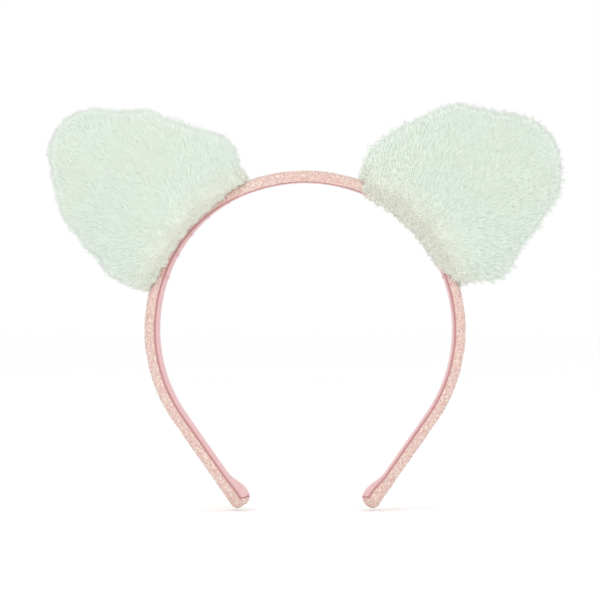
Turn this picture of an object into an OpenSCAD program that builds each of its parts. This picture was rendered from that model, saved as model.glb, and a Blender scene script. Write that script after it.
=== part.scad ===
// Animal ears headband: a padded hair band in glitter fabric with two plush ears sewn over it.
// Upright as worn: +Z is up, the front faces -Y, and the origin is the middle of the crown on its inner face.
// The round of the hoop lies in the XZ plane; "left" and "right" are as seen from the front.

/* [Hoop] */
// Inner radius of the round part of the hoop
hoop_r = 61; // [50:0.5:74]
// Angle from the crown to where each leg runs straight
leg_start = 125; // [118:1:130]
// Length of the straight end of each leg
leg_len = 45; // [34:1:54]
// Width of the covered band, front to back
band_w = 10; // [8:0.5:13]
// Thickness of the covered band, inner face to outer face
band_t = 5.6; // [4.6:0.1:7.5]
// Radius of the dome across the band's outer face
dome_r = 7.5; // [7:0.5:12]

/* [Fabric on the band] */
// Thickness of the glitter fabric
cover_t = 0.7; // [0.5:0.1:1.1]
// Thickness of the smooth lining ribbon
lining_t = 0.8; // [0.5:0.1:1.1]
// Height of the seam between lining and cover, above the inner face
seam_h = 1.3; // [1.2:0.1:2]
// Slack between the spring core and the fabric round it
core_gap = 0.1; // [0.05:0.05:0.2]

/* [Leg tips] */
// How far each tip swells inward
tip_bulge = 3; // [1.5:0.5:4]
// Length of the swelling from where it begins to the end
tip_len = 15; // [13:1:22]
// Length of the tip that has the full swelling
tip_flat = 5; // [5:0.5:9]
// Corner radius of the tip on the inner side
tip_in_r = 3.6; // [2.5:0.1:4]
// Corner radius of the tip on the outer side
tip_out_r = 2.4; // [1.8:0.1:3]

/* [Flexing] */
// Angle from the crown to where each leg bends
flex_at = 16; // [12:1:20]
// Radius of the round end of a leg's core
knuckle_r = 1.85; // [1.6:0.05:1.9]
// Clearance round the knuckle
knuckle_gap = 0.35; // [0.3:0.05:0.6]

/* [Ears] */
// Angle from the crown to the middle of each ear
ear_at = 50; // [46:1:56]
// Full width of an ear across its two lower corners
ear_w = 70; // [58:1:84]
// Width of an ear where it meets the band
ear_foot_w = 62; // [48:1:64]
// Radius of the foot's lower corners, which reach past the band at its two ends
ear_foot_r = 10; // [9:0.5:14]
// Radius of the lower corners
ear_corner_r = 16; // [12:0.5:18]
// Height of the lower corners' centres above the band
ear_corner_h = 12; // [10:0.5:18]
// Full width of an ear across its shoulders, between the corners and the tip
ear_shoulder_w = 58; // [44:1:62]
// Height of the shoulders above the band
ear_shoulder_h = 34; // [28:1:42]
// Radius of the shoulders
ear_shoulder_r = 10; // [6:0.5:14]
// Height of the left ear above the band
ear_left_h = 64; // [52:1:74]
// Radius of the left ear's tip
ear_left_tip_r = 19.5; // [14:0.5:24]
// Height of the right ear above the band
ear_right_h = 61; // [52:1:74]
// Radius of the right ear's tip
ear_right_tip_r = 23; // [14:0.5:26]
// How far the left ear's lower corners and shoulders are set towards the crown
ear_left_lean = 1; // [-2:0.5:4]
// How far the right ear's lower corners and shoulders are set towards the crown
ear_right_lean = 3; // [-2:0.5:4]
// How far the left ear's tip is set towards the crown
ear_left_tip_lean = 1; // [-4:0.5:4]
// How far the right ear's tip is set towards the crown
ear_right_tip_lean = -3; // [-4:0.5:4]
// How much further towards the crown an ear's foot is set
ear_foot_lean = 2; // [0:0.5:3]
// Thickness of an ear in its middle, pile included
ear_t = 20; // [18:0.5:26]
// Thickness of an ear at its outline
ear_edge_t = 7; // [5:0.5:8]
// Distance from the outline over which an ear swells
ear_slope = 22; // [14:1:26]
// Thickness of one plush panel, pile included
panel_t = 4; // [3:0.5:5]
// Width of the turned-in border outside the filling
border_w = 6; // [5:0.5:9]
// Height of the ear's closed floor above the band
floor_t = 2.5; // [1.5:0.5:4]
// How far the skirts stop short of the band's inner face
skirt_stop = 1; // [0.5:0.5:2.5]

/* [Threads] */
// Diameter of the sewing thread
thread_d = 0.5; // [0.4:0.1:0.6]
// Distance between the closing stitches round an ear
stitch_pitch = 4; // [3:0.5:6]
// Length of one closing stitch through both panels
stitch_len = 4; // [3:0.5:5]
// Distance of the closing stitches from the ear's outline
stitch_in = 2.5; // [2:0.5:3.5]
// Number of loops that sew one ear to the band
loops = 5; // [3:1:7]
// Angle along the band between two loops
loop_pitch = 9.5; // [6:0.5:10]
// Clearance between a loop and the fabric on either side
loop_gap = 0.1; // [0.05:0.05:0.2]

/* [Hidden] */
$fn = 96;

outer_r = hoop_r + band_t;
core_in = lining_t + core_gap;                 // inset of the core from the band's inner face
core_out = cover_t + core_gap;                 // inset of the core from the band's other faces
core_mid_r = hoop_r + (core_in + band_t - core_out) / 2;
slot_gap = thread_d + 2 * loop_gap + 0.1;      // room for the sewing loops between band and ear
slot_w = band_w + 2 * slot_gap;
slot_r = outer_r + slot_gap;
far = 3 * hoop_r;                              // larger than anything that is cut
leg_lap = 1;                                   // how far a leg runs into the round part, to join it
leg_step = 0.02;                               // how far a leg's faces lie inside the round part's
knuckle_lap = 5;                               // angle that a leg's core reaches past its bend
glitter = "mistyrose";
satin = "lightpink";
plush = "honeydew";

// ---- helpers ----

// Puts X' along the radius through the crown and Y' along the band towards the right, with Z' to the back
module from_crown() translate([0, 0, -hoop_r]) rotate(a = 240, v = [1, 1, 1]) children();

// Turns the frame of from_crown() along the band, and mirrors it on the left
module along(side, angle) mirror([side < 0 ? 1 : 0, 0, 0]) from_crown() rotate([0, 0, angle]) children();

function arc(c, r, a0, a1, n = 8) =
  [for (i = [0:n]) let (a = a0 + (a1 - a0) * i / n) c + r * [cos(a), sin(a)]];

function ease(t) = t < 0 ? 0 : t > 1 ? 1 : t * t * (3 - 2 * t);

// How far the tip has swollen at distance y along the leg
function bulge(y) = tip_bulge * ease((y - (leg_len - tip_len)) / (tip_len - tip_flat));
bulge_steps = [for (i = [0:8]) leg_len - tip_len + (tip_len - tip_flat) * i / 8];

// Section of the band: x is the height above the inner face, y is the width
module section(e_in, e_out, low = 0) {
  intersection() {
    translate([hoop_r + e_in - low, -band_w / 2 + e_out])
      square([band_t - e_in - e_out + low, band_w - 2 * e_out]);
    translate([outer_r - dome_r, 0]) circle(dome_r - e_out);
  }
}

// Leg seen from the front, inset from its faces
function leg_side(e_in, e_out) =
  let (x0 = hoop_r + e_in, x1 = outer_r - e_out, y1 = leg_len - e_out)
  concat(
    [[x0, -leg_lap]],
    [for (y = bulge_steps) [x0 - bulge(y), y]],
    arc([x0 - tip_bulge + tip_in_r - e_in, y1 - tip_in_r + e_out], tip_in_r - e_in, 180, 90),
    arc([x1 - tip_out_r + e_out, y1 - tip_out_r + e_out], tip_out_r - e_out, 90, 0),
    [[x1, -leg_lap]]
  );

// Leg seen from outside, with its round end
function leg_face(e_out) =
  let (r = band_w / 2 - e_out, y1 = leg_len - band_w / 2)
  concat([[-leg_lap, -r]], arc([y1, 0], r, -90, 90, 16), [[-leg_lap, r]]);

module leg_solid(e_in, e_out) {
  intersection() {
    linear_extrude(band_w, center = true) polygon(leg_side(e_in, e_out));
    translate([0, -leg_lap, 0]) rotate([-90, 0, 0]) linear_extrude(leg_len + leg_lap)
      section(e_in, e_out, tip_bulge);
    rotate(a = 120, v = [1, 1, 1]) linear_extrude(outer_r + 1) polygon(leg_face(e_out));
  }
}

// The part of the leg that the lining covers, up to a height above the inner face
module leg_below(h) {
  x0 = hoop_r - 2 * tip_bulge;
  y1 = leg_len - cover_t;
  linear_extrude(far, center = true) polygon(concat(
    [[x0, -leg_lap], [hoop_r + h, -leg_lap]],
    [for (y = bulge_steps) [hoop_r + h - bulge(y), y]],
    [[hoop_r + h - tip_bulge, y1], [x0, y1]]
  ));
}

module leg_wall() {
  difference() {
    leg_solid(leg_step, leg_step);
    leg_solid(lining_t - leg_step, cover_t - leg_step);
  }
}

// ---- spring core ----

module core_arc(a0, a1)
  from_crown() rotate([0, 0, a0]) rotate_extrude(angle = a1 - a0) section(core_in, core_out);

module knuckle(side, r)
  along(side, flex_at) translate([core_mid_r, 0, 0]) cylinder(h = band_w, r = r, center = true);

module core_crown() {
  color("ivory") difference() {
    core_arc(-flex_at, flex_at);
    for (side = [-1, 1]) knuckle(side, knuckle_r + knuckle_gap);
  }
}

module core_leg(side) {
  color("ivory") mirror([side < 0 ? 1 : 0, 0, 0]) union() {
    difference() {
      core_arc(flex_at - knuckle_lap, leg_start);
      difference() {
        along(1, flex_at) translate([hoop_r - band_w, -far, -band_w]) cube([3 * band_w, far, 2 * band_w]);
        knuckle(1, knuckle_r);
      }
    }
    from_crown() rotate([0, 0, leg_start]) leg_solid(core_in + leg_step, core_out + leg_step);
  }
}

// ---- fabric on the band ----

module glitter_cover() {
  color(glitter) union() {
    from_crown() rotate([0, 0, -leg_start]) rotate_extrude(angle = 2 * leg_start) difference() {
      section(0, 0);
      section(lining_t, cover_t);
      translate([0, -band_w]) square([hoop_r + seam_h, 2 * band_w]);
    }
    for (side = [-1, 1]) along(side, leg_start) difference() {
      leg_wall();
      leg_below(seam_h + leg_step);
    }
  }
}

module lining_ribbon() {
  color(satin) union() {
    from_crown() rotate([0, 0, -leg_start]) rotate_extrude(angle = 2 * leg_start) difference() {
      section(0, 0);
      section(lining_t, cover_t);
      translate([hoop_r + seam_h, -band_w]) square([band_t, 2 * band_w]);
    }
    for (side = [-1, 1]) along(side, leg_start) intersection() {
      leg_wall();
      leg_below(seam_h - leg_step);
    }
  }
}

// ---- ears ----

// Height and tip radius of one ear
function ear_h(side) = side < 0 ? ear_left_h : ear_right_h;
function ear_tip_r(side) = side < 0 ? ear_left_tip_r : ear_right_tip_r;

// How far an ear and its tip are set towards the crown
function ear_lean(side) = side < 0 ? ear_left_lean : ear_right_lean;
function ear_tip_lean(side) = side < 0 ? ear_left_tip_lean : ear_right_tip_lean;

// The circles whose common outline is the ear, as [x, y, radius]: its tip, and on each side a shoulder,
// a lower corner and a foot
function ear_circles(side) = let (lean = ear_lean(side)) concat(
  [[outer_r + ear_h(side) - ear_tip_r(side), -ear_tip_lean(side), ear_tip_r(side)]],
  [for (s = [-1, 1])
    [outer_r + ear_shoulder_h, s * (ear_shoulder_w / 2 - ear_shoulder_r) - lean, ear_shoulder_r]],
  [for (s = [-1, 1]) [outer_r + ear_corner_h, s * (ear_w / 2 - ear_corner_r) - lean, ear_corner_r]],
  [for (s = [-1, 1]) [hoop_r, s * (ear_foot_w / 2 - ear_foot_r) - lean - ear_foot_lean, ear_foot_r]]
);

// The furthest point of the circles in direction a
function furthest(circles, a) =
  let (
    n = [cos(a), sin(a)],
    reach = [for (c = circles) c[0] * n[0] + c[1] * n[1] + c[2]],
    i = search(max(reach), reach)[0]
  )
  [circles[i][0], circles[i][1]] + circles[i][2] * n;

// Outline of an ear, e inside its edge
function ear_outline(side, e = 0) =
  let (circles = [for (c = ear_circles(side)) [c[0], c[1], c[2] - e]])
  [for (k = [0:47]) furthest(circles, 7.5 * k + 3.75)];

// Pillow that swells from the outline's thickness to its full one over ear_slope
module ear_pillow(side, e_face, e_edge) {
  z0 = ear_edge_t / 2 - e_face / 2;
  z1 = ear_t / 2 - e_face;
  hull() for (a = [0, 25, 50, 70, 90])
    linear_extrude(2 * (z0 + (z1 - z0) * sin(a)), center = true)
      polygon(ear_outline(side, e_edge + (ear_slope - e_edge) * (1 - cos(a))));
}

// A disc about the hoop's own axis, in an ear's frame
module hoop_disc(r, w) rotate([0, 0, 180]) cylinder(h = w, r = r, center = true, $fn = 180);

module ear_panel(side, face) {
  color(plush) along(side, ear_at) difference() {
    intersection() {
      ear_pillow(side, 0, 0);
      translate([hoop_r / 2, -far / 2, face < 0 ? -ear_t : 0]) cube([far, far, ear_t]);
    }
    difference() {
      ear_pillow(side, panel_t, border_w);
      hoop_disc(slot_r + floor_t, 2 * ear_t);
    }
    hoop_disc(slot_r, slot_w);
    hoop_disc(hoop_r + skirt_stop, 2 * ear_t);
  }
}

module ear_filling(side) {
  color("white") along(side, ear_at) difference() {
    ear_pillow(side, panel_t, border_w);
    hoop_disc(slot_r + floor_t, 2 * ear_t);
  }
}

// Points evenly along a closed outline, about a pitch apart
function paces(pts, pitch) =
  let (
    n = len(pts),
    side_len = [for (i = [0:n - 1]) norm(pts[(i + 1) % n] - pts[i])],
    start = [for (i = 0, s = 0; i <= n; s = i < n ? s + side_len[i] : s, i = i + 1) s],
    step = start[n] / round(start[n] / pitch)
  )
  [for (i = [0:n - 1]) for (d = [ceil(start[i] / step) * step:step:start[i + 1] - step / 100])
    pts[i] + (pts[(i + 1) % n] - pts[i]) * (d - start[i]) / side_len[i]];

module ear_seam_stitches(side) {
  color("white") along(side, ear_at)
    for (p = paces(ear_outline(side, stitch_in), stitch_pitch))
      if (norm(p) > slot_r + floor_t)
        translate([p[0], p[1], 0]) cylinder(h = stitch_len, d = thread_d, center = true, $fn = 24);
}

module ear_sewing_loops(side) {
  color("white") for (i = [0:loops - 1])
    along(side, ear_at + (i - (loops - 1) / 2) * loop_pitch)
      rotate([-90, 0, 0]) linear_extrude(thread_d, center = true) difference() {
        section(-loop_gap - thread_d, -loop_gap - thread_d);
        section(-loop_gap, -loop_gap);
      }
}

core_crown();
core_leg(-1);  // core_leg_left
core_leg(1);  // core_leg_right
glitter_cover();
lining_ribbon();
ear_panel(-1, -1);  // ear_left_front_panel
ear_panel(-1, 1);  // ear_left_back_panel
ear_filling(-1);  // ear_left_filling
ear_seam_stitches(-1);  // ear_left_seam_stitches
ear_sewing_loops(-1);  // ear_left_sewing_loops
ear_panel(1, -1);  // ear_right_front_panel
ear_panel(1, 1);  // ear_right_back_panel
ear_filling(1);  // ear_right_filling
ear_seam_stitches(1);  // ear_right_seam_stitches
ear_sewing_loops(1);  // ear_right_sewing_loops
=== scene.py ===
import math
import random

import bmesh
import bpy
import numpy as np
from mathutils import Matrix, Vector
from mathutils.kdtree import KDTree


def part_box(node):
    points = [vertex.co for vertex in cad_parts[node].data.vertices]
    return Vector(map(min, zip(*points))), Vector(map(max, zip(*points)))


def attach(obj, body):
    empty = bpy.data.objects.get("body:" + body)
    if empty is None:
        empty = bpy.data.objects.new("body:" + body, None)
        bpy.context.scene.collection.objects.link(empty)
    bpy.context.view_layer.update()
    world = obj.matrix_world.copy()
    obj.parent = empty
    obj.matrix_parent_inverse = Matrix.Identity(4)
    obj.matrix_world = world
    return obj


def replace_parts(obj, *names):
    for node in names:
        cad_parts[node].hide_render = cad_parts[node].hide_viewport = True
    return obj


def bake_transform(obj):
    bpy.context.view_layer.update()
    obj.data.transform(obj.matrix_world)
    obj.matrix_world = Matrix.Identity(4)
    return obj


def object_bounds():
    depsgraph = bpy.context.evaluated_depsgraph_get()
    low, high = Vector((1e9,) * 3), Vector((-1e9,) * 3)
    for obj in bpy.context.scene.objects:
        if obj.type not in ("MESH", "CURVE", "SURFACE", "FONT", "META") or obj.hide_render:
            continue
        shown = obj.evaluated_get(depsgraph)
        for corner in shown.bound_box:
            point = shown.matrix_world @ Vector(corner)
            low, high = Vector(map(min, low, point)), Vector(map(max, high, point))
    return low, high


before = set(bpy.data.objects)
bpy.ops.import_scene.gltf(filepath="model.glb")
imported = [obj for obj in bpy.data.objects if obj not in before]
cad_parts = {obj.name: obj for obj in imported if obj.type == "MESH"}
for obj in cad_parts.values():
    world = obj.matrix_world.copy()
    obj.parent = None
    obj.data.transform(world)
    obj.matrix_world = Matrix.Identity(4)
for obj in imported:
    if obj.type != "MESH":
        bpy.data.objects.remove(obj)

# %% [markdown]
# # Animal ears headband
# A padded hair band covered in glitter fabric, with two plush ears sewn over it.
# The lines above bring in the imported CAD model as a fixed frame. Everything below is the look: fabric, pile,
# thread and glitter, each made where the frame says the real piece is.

cad_box = [list(corner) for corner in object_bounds()]
MM = 0.001
SIDES = ((-1, "left"), (1, "right"))
FACES = ((-1, "front"), (1, "back"))


# %% [markdown]
# The band is part of a circle that runs into two straight legs. Its sizes are read off the cover's box: the
# widest point is the outer radius, the top is the thickness, and the depth is the band's width. Only the
# angle at which the legs start and their length are typed in, as the CAD model has them.

# %% The band's sizes, in millimetres
cover_low, cover_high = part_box("glitter_cover")
OUTER_R = cover_high.x / MM
BAND_T = cover_high.z / MM
HOOP_R = OUTER_R - BAND_T
BAND_W = (cover_high.y - cover_low.y) / MM
LEG_START_DEG = 125
LEG_START = math.radians(LEG_START_DEG)
LEG_LEN = 45.0
ARC_LEN = OUTER_R * LEG_START
CENTRE = Vector((0, 0, -HOOP_R))
print(f"hoop {HOOP_R:.1f} mm inside, {OUTER_R:.1f} mm outside")
print(f"band {BAND_W:.1f} mm wide, legs {LEG_LEN:.1f} mm long")


# %% [markdown]
# ## Shader maths as plain Python
# A material is a tree of nodes, and sums on its values are Math nodes. One small class holds an output of a
# node, and Python's operators on it add the Math node, so a pattern reads like a formula.

# %% One output of a node
class Wire:
    """One output in a material. + and * on it, or with a number on either side, add Math nodes."""

    def __init__(self, tree, socket=None):
        self.tree, self.socket = tree, socket

    def node(self, kind, settings=None, sockets=None, out=0):
        """Any other node: its type, its settings, which are set first, and its sockets' values or links."""
        made = self.tree.nodes.new("ShaderNode" + kind)
        for name, value in (settings or {}).items():
            if name == "stops":
                ramp = made.color_ramp
                ramp.elements[0].position, ramp.elements[-1].position = value[0][0], value[-1][0]
                for at, _ in value[1:-1]:
                    ramp.elements.new(at)
                for element, (_, colour) in zip(ramp.elements, value):
                    element.color = colour
            else:
                setattr(made, name, value)
        for name, value in (sockets or {}).items():
            if isinstance(value, Wire):
                self.tree.links.new(value.socket, made.inputs[name])
            else:
                made.inputs[name].default_value = value
        return Wire(self.tree, made.outputs[out])

    def maths(self, operation, a, b):
        return self.node("Math", {"operation": operation}, {0: a, 1: b})

    def __add__(self, other):
        return self.maths("ADD", self, other)

    def __radd__(self, other):
        return self.maths("ADD", other, self)

    def __mul__(self, other):
        return self.maths("MULTIPLY", self, other)

    def __rmul__(self, other):
        return self.maths("MULTIPLY", other, self)

    def sine(self):
        return self.node("Math", {"operation": "SINE"}, {0: self})

    def between(self, low, high):
        """0 below low, 1 above high, and a smooth rise between."""
        return self.node("MapRange", {"interpolation_type": "SMOOTHSTEP"}, {0: self, 1: low, 2: high})

    def tint(self, a, b):
        """Colour a where this wire is 0 and colour b where it is 1."""
        return self.node("Mix", {"data_type": "RGBA"}, {0: self, 6: a, 7: b}, out=2)

    def value(self, name):
        """A number stored at the piece's own points."""
        return self.node("Attribute", {"attribute_name": name}, out=2)

    def place(self):
        """Where a point is, in the piece's own coordinates."""
        return self.node("TexCoord", out=3)

    def vector(self, x, y, z):
        return self.node("CombineXYZ", None, {0: x, 1: y, 2: z})

    def noise(self, at, scale, detail=3.0, rough=0.5):
        """Soft clouds, scale of them to a metre."""
        sockets = {"Vector": at, "Scale": scale, "Detail": detail, "Roughness": rough}
        return self.node("TexNoise", None, sockets)

    def bump(self, height, strength, distance, normal=None):
        links = {"Height": height, "Strength": strength, "Distance": distance}
        return self.node("Bump", None, links if normal is None else {**links, "Normal": normal})


def shade(red, green, blue):
    """A colour given as on a screen, 0 to 255, made linear for the shader."""
    linear = [c / 255 / 12.92 if c < 10 else ((c / 255 + 0.055) / 1.055) ** 2.4 for c in (red, green, blue)]
    return (*linear, 1.0)


def new_finish(name, **constants):
    """A material, its first wire and a way to plug wires into its shader."""
    material = bpy.data.materials.new(name)
    material.use_nodes = True
    shader = material.node_tree.nodes["Principled BSDF"]
    for socket, value in constants.items():
        shader.inputs[socket.replace("_", " ")].default_value = value
    start = Wire(material.node_tree)

    def plug(**wires):
        for socket, wire in wires.items():
            material.node_tree.links.new(wire.socket, shader.inputs[socket.replace("_", " ")])

    return material, start, plug


print("shader tools ready")

# %% [markdown]
# ## The colours
# The pile is a pale mint white that turns beige against the band. The glitter is pink and cream, and the
# lining and its hem are a plainer pink.

# %% Colours
MINT, MINT_DEEP, MINT_LIGHT = shade(240, 246, 239), shade(230, 239, 230), shade(246, 250, 245)
MINT_WARM, BEIGE = shade(243, 247, 236), shade(233, 231, 219)
PILE_GLOW, FOOT_GLOW = shade(213, 226, 214), shade(205, 206, 193)
PINK_DEEP, PINK, SKIN = shade(216, 158, 154), shade(222, 174, 168), shade(222, 188, 179)
CREAM, PALE = shade(228, 204, 191), shade(243, 230, 215)
CELL_GLINT, FLAKE_GLINT = shade(255, 251, 240), shade(255, 250, 238)
SATIN, SATIN_LIGHT, SATIN_DEEP = shade(224, 182, 182), shade(232, 194, 193), shade(204, 148, 150)
HEM, PINK_THREAD = shade(198, 134, 135), shade(214, 160, 161)
THREAD_GREY, THREAD_WHITE = shade(236, 232, 220), shade(250, 248, 240)
BATTING_GREY, BATTING_WHITE = shade(226, 226, 222), shade(250, 250, 248)
IVORY_DEEP, IVORY = shade(236, 230, 216), shade(243, 239, 228)
print("pile", [round(c, 3) for c in MINT], "glitter", [round(c, 3) for c in PINK])

# %% [markdown]
# ## Glitter fabric
# Glitter fabric is a woven back with thousands of tiny flat flakes glued on at all angles. Flakes can be
# modelled one by one, or drawn as cells that each have their own colour, gloss and tilt. Both are used: cells
# for the carpet of small flakes, and real hexagons for the large ones that catch the light.

# %% Glitter finish
CELLS_TO_A_METRE = 2600.0
FACET_TILT = 0.5
glitter, w, plug = new_finish("glitter fabric", Sheen_Weight=0.15, Coat_Weight=0.0)
strip = w.vector(w.value("along"), w.value("around"), w.value("side"))
cells = w.node("TexVoronoi", None, {"Vector": strip, "Scale": CELLS_TO_A_METRE}, out=1)
cell_tone = w.node("SeparateColor", None, {0: cells}, out=0)
cell_gloss = w.node("SeparateColor", None, {0: cells}, out=1)
blotches = w.noise(strip, 900.0, 2.0, 0.6)
patches = w.noise(strip, 210.0, 2.0, 0.5)
fleck = cell_tone * 0.62 + blotches.between(0.36, 0.64) * 0.38
tones = w.node("ValToRGB", {"stops": [(0.0, PINK_DEEP), (0.16, PINK), (0.38, SKIN), (0.62, CREAM),
                                      (0.86, PALE), (1.0, CELL_GLINT)]}, {0: fleck})
tinted = (patches.between(0.35, 0.7) * 0.35).tint(tones, SKIN)
tilt = w.node("VectorMath", {"operation": "MULTIPLY_ADD"},
              {0: cells, 1: (FACET_TILT,) * 3, 2: (-FACET_TILT / 2,) * 3})
leaning = w.node("VectorMath", {"operation": "ADD"}, {0: w.node("NewGeometry", out=1), 1: tilt})
facet = w.node("VectorMath", {"operation": "NORMALIZE"}, {0: leaning})
# Towards its edge the glitter darkens to the hem's pink: partly the dark edging itself, partly painted shade
# in the groove at the seam.
plug(Base_Color=(w.value("hem") * 0.85).tint(tinted, HEM), Roughness=0.28 + cell_gloss * 0.35,
     Metallic=cell_gloss.between(0.55, 0.95) * 0.35, Normal=w.bump(blotches, 0.25, 0.2 * MM, facet))

# %% Finish of the large flakes
flake_finish, w, plug = new_finish("glitter flakes", Coat_Weight=0.4, Coat_Roughness=0.15)
hue = w.value("tone")
tones = w.node("ValToRGB", {"stops": [(0.0, PINK_DEEP), (0.25, PINK), (0.5, SKIN), (0.75, CREAM),
                                      (1.0, FLAKE_GLINT)]}, {0: hue})
plug(Base_Color=tones, Roughness=0.18 + hue * 0.2, Metallic=0.1 + hue * 0.35)
print("finishes:", [m.name for m in bpy.data.materials])

# %% [markdown]
# ## Satin lining, hem and sewing thread
# Satin ribbon has fine ribs across it and a soft sheen. The pattern follows the ribbon's own length and
# width, which are stored at its points, so that it stays put when the band is spread.

# %% Satin finish
RIB_PITCH, WARP_PITCH, TWIST_PITCH = 0.42 * MM, 0.35 * MM, 0.9 * MM
satin, w, plug = new_finish("satin lining", Sheen_Weight=0.35, Sheen_Roughness=0.35)
along, around = w.value("along"), w.value("around")
ribs = (along * (2 * math.pi / RIB_PITCH)).sine()
warp = (around * (2 * math.pi / WARP_PITCH)).sine()
cloudy = w.noise(w.vector(along, around, 0.0), 260.0, 3.0, 0.55)
slubs = w.noise(w.vector(along * 0.12, around, 0.0), 2200.0, 2.0, 0.5)
base = (cloudy.between(0.3, 0.75) * 0.35 + slubs.between(0.55, 0.8) * 0.2).tint(SATIN, SATIN_LIGHT)
# Towards the cover's edge the satin darkens to SATIN_DEEP: partly a dark glue line, partly painted shade where
# it runs under the cover.
plug(Base_Color=(w.value("hem") * 0.8).tint(base, SATIN_DEEP), Roughness=0.42 + cloudy * 0.15 + ribs * 0.03,
     Normal=w.bump(ribs * 0.6 + warp * 0.3 + slubs, 0.35, 0.06 * MM))

# %% Hem finish
hem_finish, w, plug = new_finish("hem cord", Sheen_Weight=0.2)
twist = (w.value("along") * (2 * math.pi / TWIST_PITCH) + w.value("around") * 2.0).sine()
plug(Base_Color=(twist * 0.5 + 0.5).tint(HEM, SATIN_DEEP), Roughness=0.7 + twist * 0.1,
     Normal=w.bump(twist, 0.6, 0.12 * MM))


# %% Thread finishes
def thread_finish(name, fuzz_scale, dark, light):
    """Fuzzy polyester thread, between two tones."""
    made, wire, plug_in = new_finish(name, Sheen_Weight=0.3)
    fuzz = wire.noise(wire.place(), fuzz_scale, 3.0, 0.6)
    plug_in(Base_Color=fuzz.tint(dark, light), Roughness=0.6 + fuzz * 0.25,
            Normal=wire.bump(fuzz, 0.5, 0.08 * MM))
    return made


thread = thread_finish("sewing thread", 5200.0, THREAD_GREY, THREAD_WHITE)
pink_thread = thread_finish("pink sewing thread", 4200.0, PINK_THREAD, SATIN)
print("finishes:", [m.name for m in bpy.data.materials])

# %% [markdown]
# ## Plush, batting and the plastic core
# The pile is real hair, so its finish only needs a darker root, a lighter tip and a tone of its own for each
# hair. White fur is bright because light passes from hair to hair many times. A render follows only a few of
# those passes, so a faint glow in the fur's own colour stands for the rest. The cloth that the pile is
# knitted into shows between the hairs and gets a weaker glow. The loose filling and the moulded core are
# hidden, but have finishes of their own for whoever cuts the model open.

# %% Pile and backing finishes
PILE_GLOW_STRENGTH, BACKING_GLOW_STRENGTH = 0.205, 0.13
pile, w, plug = new_finish("plush pile", Sheen_Weight=0.3, Sheen_Roughness=0.4,
                           Emission_Strength=PILE_GLOW_STRENGTH)
mottle = w.noise(w.place(), 160.0, 3.0, 0.55)
broad = w.noise(w.place(), 38.0, 2.0, 0.5)
by_length = w.value("tip").tint(MINT_DEEP, MINT_LIGHT)
own_tone = (w.value("tone") * 0.5 + mottle.between(0.35, 0.65) * 0.35).tint(by_length, MINT)
drift = (broad.between(0.4, 0.62) * 0.3).tint(own_tone, MINT_WARM)
warm = w.value("warm")
plug(Base_Color=warm.tint(drift, BEIGE), Roughness=0.78 + mottle * 0.15,
     Emission_Color=warm.tint(PILE_GLOW, FOOT_GLOW))

backing, w, plug = new_finish("plush backing", Sheen_Weight=0.3, Emission_Strength=BACKING_GLOW_STRENGTH)
at = w.place()
knit = w.node("TexVoronoi", None, {"Vector": at, "Scale": 1400.0})
grain = w.noise(at, 900.0, 4.0, 0.6)
warm = w.value("warm")
plug(Base_Color=warm.tint((grain * 0.6 + knit * 0.4).tint(MINT_DEEP, MINT), BEIGE),
     Roughness=0.85 + grain * 0.1, Emission_Color=warm.tint(PILE_GLOW, FOOT_GLOW),
     Normal=w.bump(knit + grain, 0.7, 0.3 * MM))

# %% Batting and core finishes
batting, w, plug = new_finish("loose batting", Sheen_Weight=0.4)
at = w.place()
drawn_out = w.node("Mapping", None, {"Vector": at, "Rotation": (0.4, 0.2, 0.7), "Scale": (1.0, 1.0, 0.15)})
fibres = w.noise(drawn_out, 2600.0, 4.0, 0.65)
clouds = w.noise(at, 220.0, 3.0, 0.5)
plug(Base_Color=(fibres * 0.5 + clouds * 0.5).tint(BATTING_GREY, BATTING_WHITE),
     Roughness=0.9 + clouds * 0.05, Normal=w.bump(fibres * 0.6 + clouds, 0.8, 0.4 * MM))

moulded, w, plug = new_finish("moulded core")
at = w.place()
skin_grain, ivory_clouds = w.noise(at, 3200.0, 2.0, 0.5), w.noise(at, 90.0, 2.0, 0.5)
# The ivory is darker and lighter in broad soft clouds.
plug(Base_Color=ivory_clouds.between(0.35, 0.65).tint(IVORY_DEEP, IVORY), Roughness=0.42 + skin_grain * 0.12,
     Normal=w.bump(skin_grain, 0.12, 0.05 * MM))
print(len(bpy.data.materials), "finishes made")


# %% [markdown]
# ## Making a piece
# Every piece ends the same way: its mesh becomes an object at the origin with its finish. Numbers that a
# finish needs are stored at the points.

# %% From a bmesh to a finished piece
def smooth_faces(bm, sharp=50):
    """Smooth shading, with edges left hard where two faces meet at more than the given angle."""
    for face in bm.faces:
        face.smooth = True
    for edge in bm.edges:
        edge.smooth = len(edge.link_faces) != 2 or edge.calc_face_angle(0.0) < math.radians(sharp)


def placed_object(name, mesh, finish):
    """A mesh as an object in the scene, with its finish."""
    made = bpy.data.objects.new(name, mesh)
    bpy.context.scene.collection.objects.link(made)
    mesh.materials.append(finish)
    return made


def piece(name, bm, finish, sharp=50):
    """The bmesh as an object. The bmesh is used up."""
    smooth_faces(bm, sharp)
    mesh = bpy.data.meshes.new(name)
    bm.to_mesh(mesh)
    bm.free()
    return placed_object(name, mesh, finish)


def store(made, **numbers):
    """Numbers at a piece's points, for its finish to read."""
    for name, values in numbers.items():
        layer = made.data.attributes.new(name, "FLOAT", "POINT")
        layer.data.foreach_set("value", np.asarray(values, np.float32))


def counts(pieces):
    """How many faces each piece has, to print."""
    return {made.name: len(made.data.polygons) for made in pieces}


def rise(x, low, high):
    """0 up to low, 1 from high on, and a smooth rise between."""
    t = min(1.0, max(0.0, (x - low) / (high - low)))
    return t * t * (3 - 2 * t)


print("half way up a rise:", rise(0.5, 0, 1))


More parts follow.
